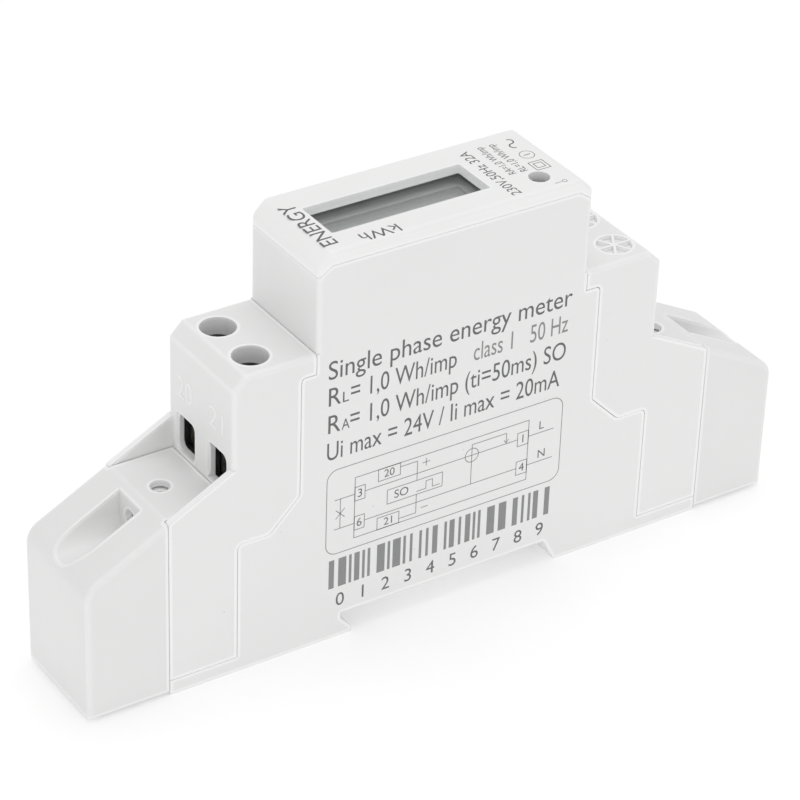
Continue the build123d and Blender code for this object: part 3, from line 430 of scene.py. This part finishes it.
FINISH = {
    "housing_plastic": moulded("housing_plastic", WHITE),
    "cover_plastic": moulded("cover_plastic", shade(WHITE, 0.965)),
    "bezel_plastic": moulded("bezel_plastic", shade(WHITE, 1.08), rough=0.36, depth=3e-6),
    "latch_plastic": moulded("latch_plastic", shade(WHITE, 0.93), rough=0.4),
    "terminal_black": moulded("terminal_black", BLACK, rough=0.5, specks=False),
    "inner_plastic": moulded("inner_plastic", (0.68, 0.68, 0.66), specks=False),
    "clear_window": clear_window(),
    "lcd_glass": lcd_glass(),
    "elastomer": elastomer(),
    "led_epoxy": led_epoxy(),
    "board_laminate": board_laminate(),
    "header_plastic": part_coat(
        "header_plastic", (0.025, 0.025, 0.027), 0.45, HEADER_BODY, lead_colour=GOLD
    ),
    "copper": supply_copper("copper", (0.78, 0.42, 0.27), BAR_TIN_FROM),
    "shunt_alloy": supply_copper("shunt_alloy", (0.55, 0.47, 0.4)),
    "capacitor_box": part_coat("capacitor_box", (0.80, 0.52, 0.05), 0.32, BOX_BODY, coat=0.25),
    "varistor_coat": part_coat(
        "varistor_coat", (0.03, 0.12, 0.42), 0.28, VARISTOR_BODY, 900, 2e-5, 0.4
    ),
    "capacitor_sleeve": part_coat(
        "capacitor_sleeve", (0.02, 0.025, 0.045), 0.3, CAN_BODY, coat=0.3
    ),
    "diode_epoxy": part_coat("diode_epoxy", BLACK, 0.4, DIODE_BODY),
    "resistor_coat": part_coat(
        "resistor_coat", (0.2, 0.36, 0.27), 0.55, RESISTOR_BODY, 3500, 1e-5
    ),
    "chip_epoxy": part_coat("chip_epoxy", (0.02, 0.02, 0.022), 0.55),
    "optocoupler_epoxy": part_coat("optocoupler_epoxy", (0.78, 0.78, 0.74), 0.5, OPTO_BODY),
    "crystal_can": metal("crystal_can", (0.7, 0.69, 0.67), 0.25, (1, 1, 0.08)),
    "ceramic": part_coat("ceramic", (0.42, 0.3, 0.19), 0.5, bump_scale=6000),
    "red_insulation": part_coat("red_insulation", (0.55, 0.03, 0.025), 0.35, coat=0.2),
    "black_insulation": part_coat("black_insulation", (0.02, 0.02, 0.022), 0.35, coat=0.2),
    "spring_steel": metal("spring_steel", (0.55, 0.55, 0.56), 0.28, (0.1, 1, 1)),
    "solder": metal("solder", (0.74, 0.74, 0.75), 0.2, grain=2500),
    "clamp_steel": metal("clamp_steel", (0.68, 0.67, 0.64), 0.32, (1, 1, 0.08)),
    "screw_steel": metal("screw_steel", (0.7, 0.69, 0.66), 0.3, (0.3, 0.3, 1)),
    "contact_brass": metal("contact_brass", (0.78, 0.62, 0.33), 0.3, (0.08, 1, 1)),
}
DARK = ink("dark_ink", DARK_INK)
GREY = ink("grey_ink", GREY_INK)

for subpart in frame["record"]["subparts"]:
    obj = NODES[subpart["node"]]
    obj.data.materials.clear()
    obj.data.materials.append(FINISH[subpart["material_slot"]])


# ---------------------------------------------------------------- mesh helpers
def add_object(name, mesh, material, body="housing"):
    obj = bpy.data.objects.new(name, mesh)
    bpy.context.scene.collection.objects.link(obj)
    obj.data.materials.clear()
    obj.data.materials.append(material)
    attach(obj, body)
    return obj


def sheet_matrix(origin, right, up):
    """Maps (u, v, w) in millimetres on a printed face, w out of it, to the shared frame."""
    right, up = Vector(right), Vector(up)
    out = right.cross(up)
    m = Matrix((right, up, out)).transposed().to_4x4()
    m.translation = Vector(origin)
    return m @ Matrix.Scale(MM, 4)


CORNER_STEPS = 8


class Sheet:
    """Collects thin raised shapes drawn on one flat face."""

    def __init__(self, low, high):
        self.bm = bmesh.new()
        self.low = low
        self.high = high

    def outline(self, points):
        """Closed prism over a simple polygon, given anticlockwise."""
        bottom = [self.bm.verts.new((u, v, self.low)) for u, v in points]
        top = [self.bm.verts.new((u, v, self.high)) for u, v in points]
        self.bm.faces.new(top)
        self.bm.faces.new(bottom[::-1])
        for i in range(len(points)):
            j = (i + 1) % len(points)
            self.bm.faces.new((bottom[i], bottom[j], top[j], top[i]))

    def bar(self, u0, u1, v0, v1):
        self.outline([(u0, v0), (u1, v0), (u1, v1), (u0, v1)])

    def line(self, a, b, width):
        """Straight stroke from a to b with square ends."""
        a, b = Vector(a), Vector(b)
        along = (b - a).normalized() * width / 2
        side = Vector((-along.y, along.x))
        corners = [a - along - side, b + along - side, b + along + side, a - along + side]
        self.outline([tuple(c) for c in corners])

    def path(self, points, width, closed=False):
        """Stroke with mitred corners along a run of points."""
        pts = [Vector(p) for p in points]
        n = len(pts)
        left, right = [], []
        for i, p in enumerate(pts):
            before = pts[(i - 1) % n] if closed or i > 0 else None
            after = pts[(i + 1) % n] if closed or i < n - 1 else None
            d1 = (p - before).normalized() if before is not None else (after - p).normalized()
            d2 = (after - p).normalized() if after is not None else d1
            n1, n2 = Vector((-d1.y, d1.x)), Vector((-d2.y, d2.x))
            mitre = (n1 + n2) / max(0.3, 1 + n1.dot(n2))
            left.append(p + mitre * width / 2)
            right.append(p - mitre * width / 2)
        for i in range(n if closed else n - 1):
            j = (i + 1) % n
            quad = [right[i], right[j], left[j], left[i]]
            self.outline([tuple(q) for q in quad])

    def arc(self, centre, radius, start, end, width, steps=24):
        angles = [math.radians(start + (end - start) * i / steps) for i in range(steps + 1)]
        points = [(centre[0] + radius * math.cos(a), centre[1] + radius * math.sin(a)) for a in angles]
        if abs(end - start) >= 360:
            self.path(points[:-1], width, closed=True)
        else:
            self.path(points, width)

    def box(self, u0, u1, v0, v1, width, radius=0.0):
        """Outlined rectangle, its corners rounded if radius is given."""
        if not radius:
            self.path([(u0, v0), (u1, v0), (u1, v1), (u0, v1)], width, closed=True)
            return
        corners = (
            (u1 - radius, v1 - radius, 0),
            (u0 + radius, v1 - radius, 90),
            (u0 + radius, v0 + radius, 180),
            (u1 - radius, v0 + radius, 270),
        )
        points = []
        for cu, cv, start in corners:
            for step in range(CORNER_STEPS + 1):
                a = math.radians(start + step * 90 / CORNER_STEPS)
                points.append((cu + radius * math.cos(a), cv + radius * math.sin(a)))
        self.path(points, width, closed=True)

    def text(self, words, u, v, cap, width=None, align="LEFT"):
        """Line of text on a baseline from (u, v), its capitals cap high, fitted to any width."""
        curve = text_curve(words)
        curve.extrude = 0.5
        made = bpy.data.objects.new("words", curve)
        mesh = bpy.data.meshes.new_from_object(made)
        u_low, u_high, _, _ = extent(mesh)
        tall = cap / CAP_UNIT
        wide = width / (u_high - u_low) if width else tall
        shift = {"LEFT": 0.0, "CENTER": 0.5}[align] * (u_high - u_low) * wide
        place = Matrix.Translation((u - shift, v, (self.low + self.high) / 2))
        scale = Matrix.Diagonal((wide, tall, self.high - self.low, 1))
        place = place @ scale @ Matrix.Translation((-u_low, 0, 0))
        mesh.transform(place)
        self.bm.from_mesh(mesh)
        bpy.data.objects.remove(made)
        bpy.data.meshes.remove(mesh)
        bpy.data.curves.remove(curve)

    def mesh(self, name, matrix):
        bmesh.ops.remove_doubles(self.bm, verts=self.bm.verts, dist=1e-5)
        bmesh.ops.recalc_face_normals(self.bm, faces=self.bm.faces)
        mesh = bpy.data.meshes.new(name)
        self.bm.to_mesh(mesh)
        self.bm.free()
        mesh.transform(matrix)
        return mesh


def extent(mesh):
    us = [p.co.x for p in mesh.vertices]
    vs = [p.co.y for p in mesh.vertices]
    return min(us), max(us), min(vs), max(vs)


def text_curve(words):
    curve = bpy.data.curves.new("words", "FONT")
    curve.body = words
    curve.size = 1.0
    curve.resolution_u = 6
    return curve


def capital_height():
    """Height of a capital letter of the built-in typeface at size 1."""
    curve = text_curve("H")
    made = bpy.data.objects.new("probe", curve)
    mesh = bpy.data.meshes.new_from_object(made)
    height = extent(mesh)[3]
    bpy.data.objects.remove(made)
    bpy.data.meshes.remove(mesh)
    bpy.data.curves.remove(curve)
    return height


CAP_UNIT = capital_height()
INK_SINK, INK_RISE = -0.012, 0.006  # millimetres below and above the printed face

# ---------------------------------------------------------------- print on the label side
LABEL_SHIFT = -0.00045
THIN = 0.13
side = sheet_matrix((LABEL_SHIFT, LABEL_Y, 0), (1, 0, 0), (0, 0, 1))

# words, left end, baseline, height of capitals, length
LINE_CAP, SMALL_CAP = 2.9, 1.7
LABEL_TEXT = (
    ("Single phase energy meter", -20.3, 44.2, LINE_CAP, 41.0),
    ("R", -20.2, 39.9, LINE_CAP, 2.0),
    ("L", -17.9, 39.9, SMALL_CAP, 1.0),
    ("= 1,0 Wh/imp", -16.6, 39.9, LINE_CAP, 17.6),
    ("R", -20.2, 35.4, LINE_CAP, 2.0),
    ("A", -18.0, 35.4, SMALL_CAP, 1.3),
    ("= 1,0 Wh/imp (ti=50ms) SO", -16.6, 35.4, LINE_CAP, 36.7),
    ("Ui max = 24V / Ii max = 20mA", -20.3, 30.9, LINE_CAP, 39.6),
)
DIGIT_START, DIGIT_PITCH, DIGIT_BASE, DIGIT_CAP = -17.6, 3.88, 5.35, 2.15
words = Sheet(INK_SINK, INK_RISE)
for line in LABEL_TEXT:
    words.text(*line)
for i, digit in enumerate("0123456789"):
    words.text(digit, DIGIT_START + i * DIGIT_PITCH, DIGIT_BASE, DIGIT_CAP, align="CENTER")
add_object("label_words", words.mesh("label_words", side), DARK)

# wiring diagram: outlined boxes as u0, u1, v0, v1, and runs of line
DIAGRAM_FRAME = (-20.2, 20.2, 14.6, 29.0)
FRAME_CORNER = 1.8
DIAGRAM_BOXES = (
    (-15.5, 14.3, 16.3, 26.6),
    (-15.5, -13.8, 22.6, 24.9),
    (-15.5, -13.8, 17.6, 19.9),
    (12.4, 14.3, 22.6, 24.9),
    (12.4, 14.3, 17.6, 19.9),
    (-11.6, -7.9, 24.6, 26.6),
    (-11.6, -7.9, 16.3, 18.3),
    (-10.0, -0.6, 20.2, 22.6),
)
DIAGRAM_RUNS = (
    [(-7.9, 25.9), (-5.0, 25.9), (-5.0, 22.6)],
    [(-7.9, 17.0), (-5.0, 17.0), (-5.0, 20.2)],
    [(-5.0, 20.7), (-3.4, 20.7), (-3.4, 22.0), (-2.3, 22.0), (-2.3, 20.7), (-1.0, 20.7)],
    [(-13.8, 23.8), (12.4, 23.8)],
    [(-13.8, 18.8), (12.4, 18.8)],
    [(14.3, 23.8), (18.8, 23.8)],
    [(14.3, 18.8), (18.8, 18.8)],
    [(-18.9, 23.8), (-15.5, 23.8)],
    [(-18.9, 18.8), (-15.5, 18.8)],
    [(-17.9, 23.8), (-17.9, 18.8)],
    [(4.4, 18.8), (4.4, 25.6), (10.4, 25.6), (10.4, 24.1)],
    [(10.0, 24.5), (10.4, 23.9), (10.8, 24.5)],
)
DIAGRAM_STROKES = (
    ((-18.6, 20.6), (-17.2, 22.0)),
    ((-18.6, 22.0), (-17.2, 20.6)),
    ((-4.1, 25.3), (-2.9, 25.3)),
    ((-3.5, 24.7), (-3.5, 25.9)),
    ((-4.1, 17.6), (-3.0, 17.6)),
)
METER_CENTRE, METER_RADIUS = (4.4, 23.8), 1.15
lines = Sheet(INK_SINK, INK_RISE)
lines.text("class 1   50 Hz", 3.9, 39.9, LINE_CAP, 16.3)
lines.box(*DIAGRAM_FRAME, THIN, FRAME_CORNER)
for box in DIAGRAM_BOXES:
    lines.box(*box, THIN)
for run in DIAGRAM_RUNS:
    lines.path(run, THIN)
for start, end in DIAGRAM_STROKES:
    lines.line(start, end, THIN)
lines.arc(METER_CENTRE, METER_RADIUS, 0, 360, THIN)

# pattern of bars that carries no code
BARS_FROM, BARS_TO, LAST_BAR_END = -19.6, 18.4, 19.2
BAR_FOOT, BAR_HEAD = 8.7, 13.6
bars = random.Random(7)
edge = BARS_FROM
while edge < BARS_TO:
    thick = bars.choice((0.45, 0.45, 0.9, 1.35))
    lines.bar(edge, min(edge + thick, LAST_BAR_END), BAR_FOOT, BAR_HEAD)
    edge += thick + bars.choice((0.45, 0.7, 0.7, 1.15))
add_object("label_lines", lines.mesh("label_lines", side), GREY)

# marks in the diagram: words, middle, baseline, height
DIAGRAM_MARKS = (
    ("3", -14.65, 23.1, 1.35),
    ("6", -14.65, 18.1, 1.35),
    ("1", 13.35, 23.1, 1.35),
    ("4", 13.35, 18.1, 1.35),
    ("20", -9.75, 25.0, 1.25),
    ("21", -9.75, 16.7, 1.25),
    ("SO", -7.6, 20.8, 1.35),
)
numbers = Sheet(INK_SINK, INK_RISE)
for mark in DIAGRAM_MARKS:
    numbers.text(*mark, align="CENTER")
numbers.text("L", 16.2, 24.4, 1.35)
numbers.text("N", 16.2, 19.4, 1.35)
add_object("label_numbers", numbers.mesh("label_numbers", side), DARK)

# ---------------------------------------------------------------- print on the bezel
BEZEL_TEXT = (
    ("ENERGY", -7.0, 18.4, 2.4, 12.2),
    ("230V,50Hz 32A", -7.9, -11.1, 1.55, 14.0),
    ("RA=1,0 Wh/imp", -2.7, -13.7, 1.2, 8.9),
    ("RL=1,0 Wh/imp", -2.8, -15.6, 1.2, 8.9),
)
HAIRLINE = 0.09
top = sheet_matrix((0, 0, TOP_Z), (0, 1, 0), (-1, 0, 0))
title = Sheet(INK_SINK, INK_RISE)
for line in BEZEL_TEXT:
    title.text(*line)
title.text("1", 1.1, -18.6, 1.1, align="CENTER")
title.arc((1.1, -18.05), 1.1, 0, 360, 0.1)
title.box(-3.5, -1.1, -19.0, -16.7, 0.12)
title.box(-2.95, -1.65, -18.5, -17.2, 0.12)
title.arc((4.25, -18.0), 0.65, 0, 180, 0.22, 10)
title.arc((5.55, -18.0), 0.65, 180, 360, 0.22, 10)
title.line((-7.9, -16.7), (-7.9, -17.7), HAIRLINE)
title.arc((-7.9, -18.25), 0.34, 0, 360, HAIRLINE)
add_object("bezel_words", title.mesh("bezel_words", top), DARK)

unit = Sheet(INK_SINK, INK_RISE)
unit.text("kWh", 9.0, 6.4, 2.05, 6.1)
turned = sheet_matrix((0, 0, TOP_Z), (-1, 0, 0), (0, -1, 0))
add_object("bezel_unit", unit.mesh("bezel_unit", turned), DARK)

# ---------------------------------------------------------------- raised numbers over the pulse terminals
TOWER_SETBACK = 10.15 * MM  # from the shoulder housing's end to the tower's front wall
NUMBER_SINK, NUMBER_RISE = -0.1, 0.045
NUMBER_BASE, NUMBER_CAP, NUMBER_WIDTH = 38.5, 3.4, 3.9
front = sheet_matrix((SHOULDER_END_X + TOWER_SETBACK, 0, 0), (0, -1, 0), (0, 0, 1))
raised = Sheet(NUMBER_SINK, NUMBER_RISE)
for mark, middle in (("20", -4.3), ("21", 4.3)):
    raised.text(mark, middle, NUMBER_BASE, NUMBER_CAP, NUMBER_WIDTH, "CENTER")
numerals = raised.mesh("terminal_numbers", front)
add_object("terminal_numbers", numerals, FINISH["housing_plastic"])

# ---------------------------------------------------------------- dark surround under the display window
MASK_HALF_THICK = 0.015
mask_z = (LCD_HIGH.z + WINDOW_UNDERSIDE) / 2
mask = Sheet(-MASK_HALF_THICK, MASK_HALF_THICK)
u0, u1, v0, v1 = -17.9, 8.6, -4.0, 4.4
outer = (LCD_LOW.x / MM, LCD_HIGH.x / MM, -5.4, 5.4)
mask.bar(outer[0], u0, outer[2], outer[3])
mask.bar(u1, outer[1], outer[2], outer[3])
mask.bar(u0, u1, outer[2], v0)
mask.bar(u0, u1, v1, outer[3])
flat = sheet_matrix((0, 0, mask_z), (1, 0, 0), (0, 1, 0))
MASK_INK = ink("black_mask", (0.012, 0.012, 0.013))
add_object("display_mask", mask.mesh("display_mask", flat), MASK_INK)

# ---------------------------------------------------------------- latch spring
COIL_RADIUS, COIL_WIRE = 0.72 * MM, 0.16 * MM
COIL_TURNS, CLOSED_TURNS = 7, 1.5
STEPS_PER_TURN, WIRE_SIDES = 28, 10
CLOSED_PITCH = COIL_WIRE * 2.02


def coil_advance(turn, length):
    """Distance along the spring's axis after a number of turns, with closed turns at both ends."""
    total = COIL_TURNS + 2 * CLOSED_TURNS
    if turn < CLOSED_TURNS:
        return turn * CLOSED_PITCH
    if turn > total - CLOSED_TURNS:
        return length - (total - turn) * CLOSED_PITCH
    open_length = length - 2 * CLOSED_TURNS * CLOSED_PITCH
    return CLOSED_TURNS * CLOSED_PITCH + open_length * (turn - CLOSED_TURNS) / COIL_TURNS


def coil_mesh(start, end, centre_y, centre_z):
    """Closed and ground compression spring along X as a swept tube."""
    total = COIL_TURNS + 2 * CLOSED_TURNS
    bm = bmesh.new()
    rings = []
    for i in range(int(total * STEPS_PER_TURN) + 1):
        turn = i / STEPS_PER_TURN
        advance = coil_advance(turn, end - start - 2 * COIL_WIRE)
        a = 2 * math.pi * turn
        outward = Vector((0, math.cos(a), math.sin(a)))
        centre = Vector((start + COIL_WIRE + advance, centre_y, centre_z)) + outward * COIL_RADIUS
        loop = []
        for k in range(WIRE_SIDES):
            b = 2 * math.pi * k / WIRE_SIDES
            around = outward * COIL_WIRE * math.cos(b) + Vector((COIL_WIRE * math.sin(b), 0, 0))
            loop.append(bm.verts.new(centre + around))
        rings.append(loop)
    for one, two in zip(rings, rings[1:]):
        for k in range(WIRE_SIDES):
            after = (k + 1) % WIRE_SIDES
            bm.faces.new((one[k], one[after], two[after], two[k]))
    bm.faces.new(rings[0][::-1])
    bm.faces.new(rings[-1])
    bmesh.ops.recalc_face_normals(bm, faces=bm.faces)
    mesh = bpy.data.meshes.new("latch_coil")
    bm.to_mesh(mesh)
    bm.free()
    for polygon in mesh.polygons:
        polygon.use_smooth = True
    return mesh


spring_mid = (SPRING_LOW + SPRING_HIGH) / 2
coil_shape = coil_mesh(SPRING_LOW.x, SPRING_HIGH.x, spring_mid.y, spring_mid.z)
coil = add_object("latch_coil", coil_shape, FINISH["spring_steel"])
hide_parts("latch_spring")
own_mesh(coil)

# ---------------------------------------------------------------- floor, light and camera
FLOOR_HALF = 2.0
FLOOR_Z = -0.00005  # just under the feet


def floor_mesh():
    """Large flat pale sheet."""
    bm = bmesh.new()
    bmesh.ops.create_grid(bm, x_segments=40, y_segments=40, size=FLOOR_HALF)
    for v in bm.verts:
        v.co.z = FLOOR_Z
    mesh = bpy.data.meshes.new("floor")
    bm.to_mesh(mesh)
    bm.free()
    return mesh


floor_tree = Tree("floor_paper")
floor_tone = floor_tree.spread(floor_tree.noise(30, 3), 0.3, 0.7)
floor_tree.set("Base Color", floor_tree.mix(floor_tone, (0.93, 0.93, 0.93), (0.95, 0.95, 0.95)))
floor_tree.set("Roughness", floor_tree.spread(floor_tree.noise(900, 3), 0.3, 0.7, 0.85, 0.95))
floor_tree.set("Emission Color", (1.0, 1.0, 1.0))
floor_tree.set("Emission Strength", 0.21)
floor = bpy.data.objects.new("floor", floor_mesh())
floor.data.materials.append(floor_tree.material)
bpy.context.scene.collection.objects.link(floor)

world = bpy.data.worlds.new("studio")
world.use_nodes = True
sky = world.node_tree.nodes["Background"]
sky.inputs["Color"].default_value = (1, 1, 1, 1)
sky.inputs["Strength"].default_value = 0.64
bpy.context.scene.world = world


LIGHT_AIM = Vector((0, 0, 0.03))


def softbox(name, place, size, power):
    """Round area light aimed at the middle of the object."""
    lamp = bpy.data.lights.new(name, "AREA")
    lamp.shape = "DISK"
    lamp.size = size
    lamp.energy = power
    obj = bpy.data.objects.new(name, lamp)
    bpy.context.scene.collection.objects.link(obj)
    obj.location = place
    obj.rotation_euler = (LIGHT_AIM - Vector(place)).to_track_quat("-Z", "Y").to_euler()


softbox("overhead", (0.1, 0.1, 1.2), 1.2, 3.6)
softbox("fill", (-0.62, -0.92, 0.72), 0.9, 1.0)

AZIMUTH, ELEVATION, ROLL = math.radians(-33.937), math.radians(32.294), math.radians(2.021)
DISTANCE = 0.47822
TARGET = Vector((-0.002858, 0, 0.030503))
FOCAL_PIXELS = 3323.59
FRAME_PIXELS = 800
SENSOR = 36.0

level = Vector((math.sin(AZIMUTH), -math.cos(AZIMUTH), 0))
back = level * math.cos(ELEVATION) + Vector((0, 0, math.sin(ELEVATION)))
right = Vector((0, 0, 1)).cross(back).normalized()
up = back.cross(right)
rolled_right = math.cos(ROLL) * right + math.sin(ROLL) * up
rolled_up = math.cos(ROLL) * up - math.sin(ROLL) * right
camera_data = bpy.data.cameras.new("camera")
camera_data.sensor_width = SENSOR
camera_data.lens = FOCAL_PIXELS / FRAME_PIXELS * SENSOR
camera_data.clip_start = 0.01
camera_data.clip_end = 20
camera = bpy.data.objects.new("camera", camera_data)
bpy.context.scene.collection.objects.link(camera)
pose = Matrix((rolled_right, rolled_up, back)).transposed().to_4x4()
pose.translation = TARGET + back * DISTANCE
camera.matrix_world = pose
bpy.context.scene.camera = camera

bpy.context.scene.view_settings.view_transform = "Standard"
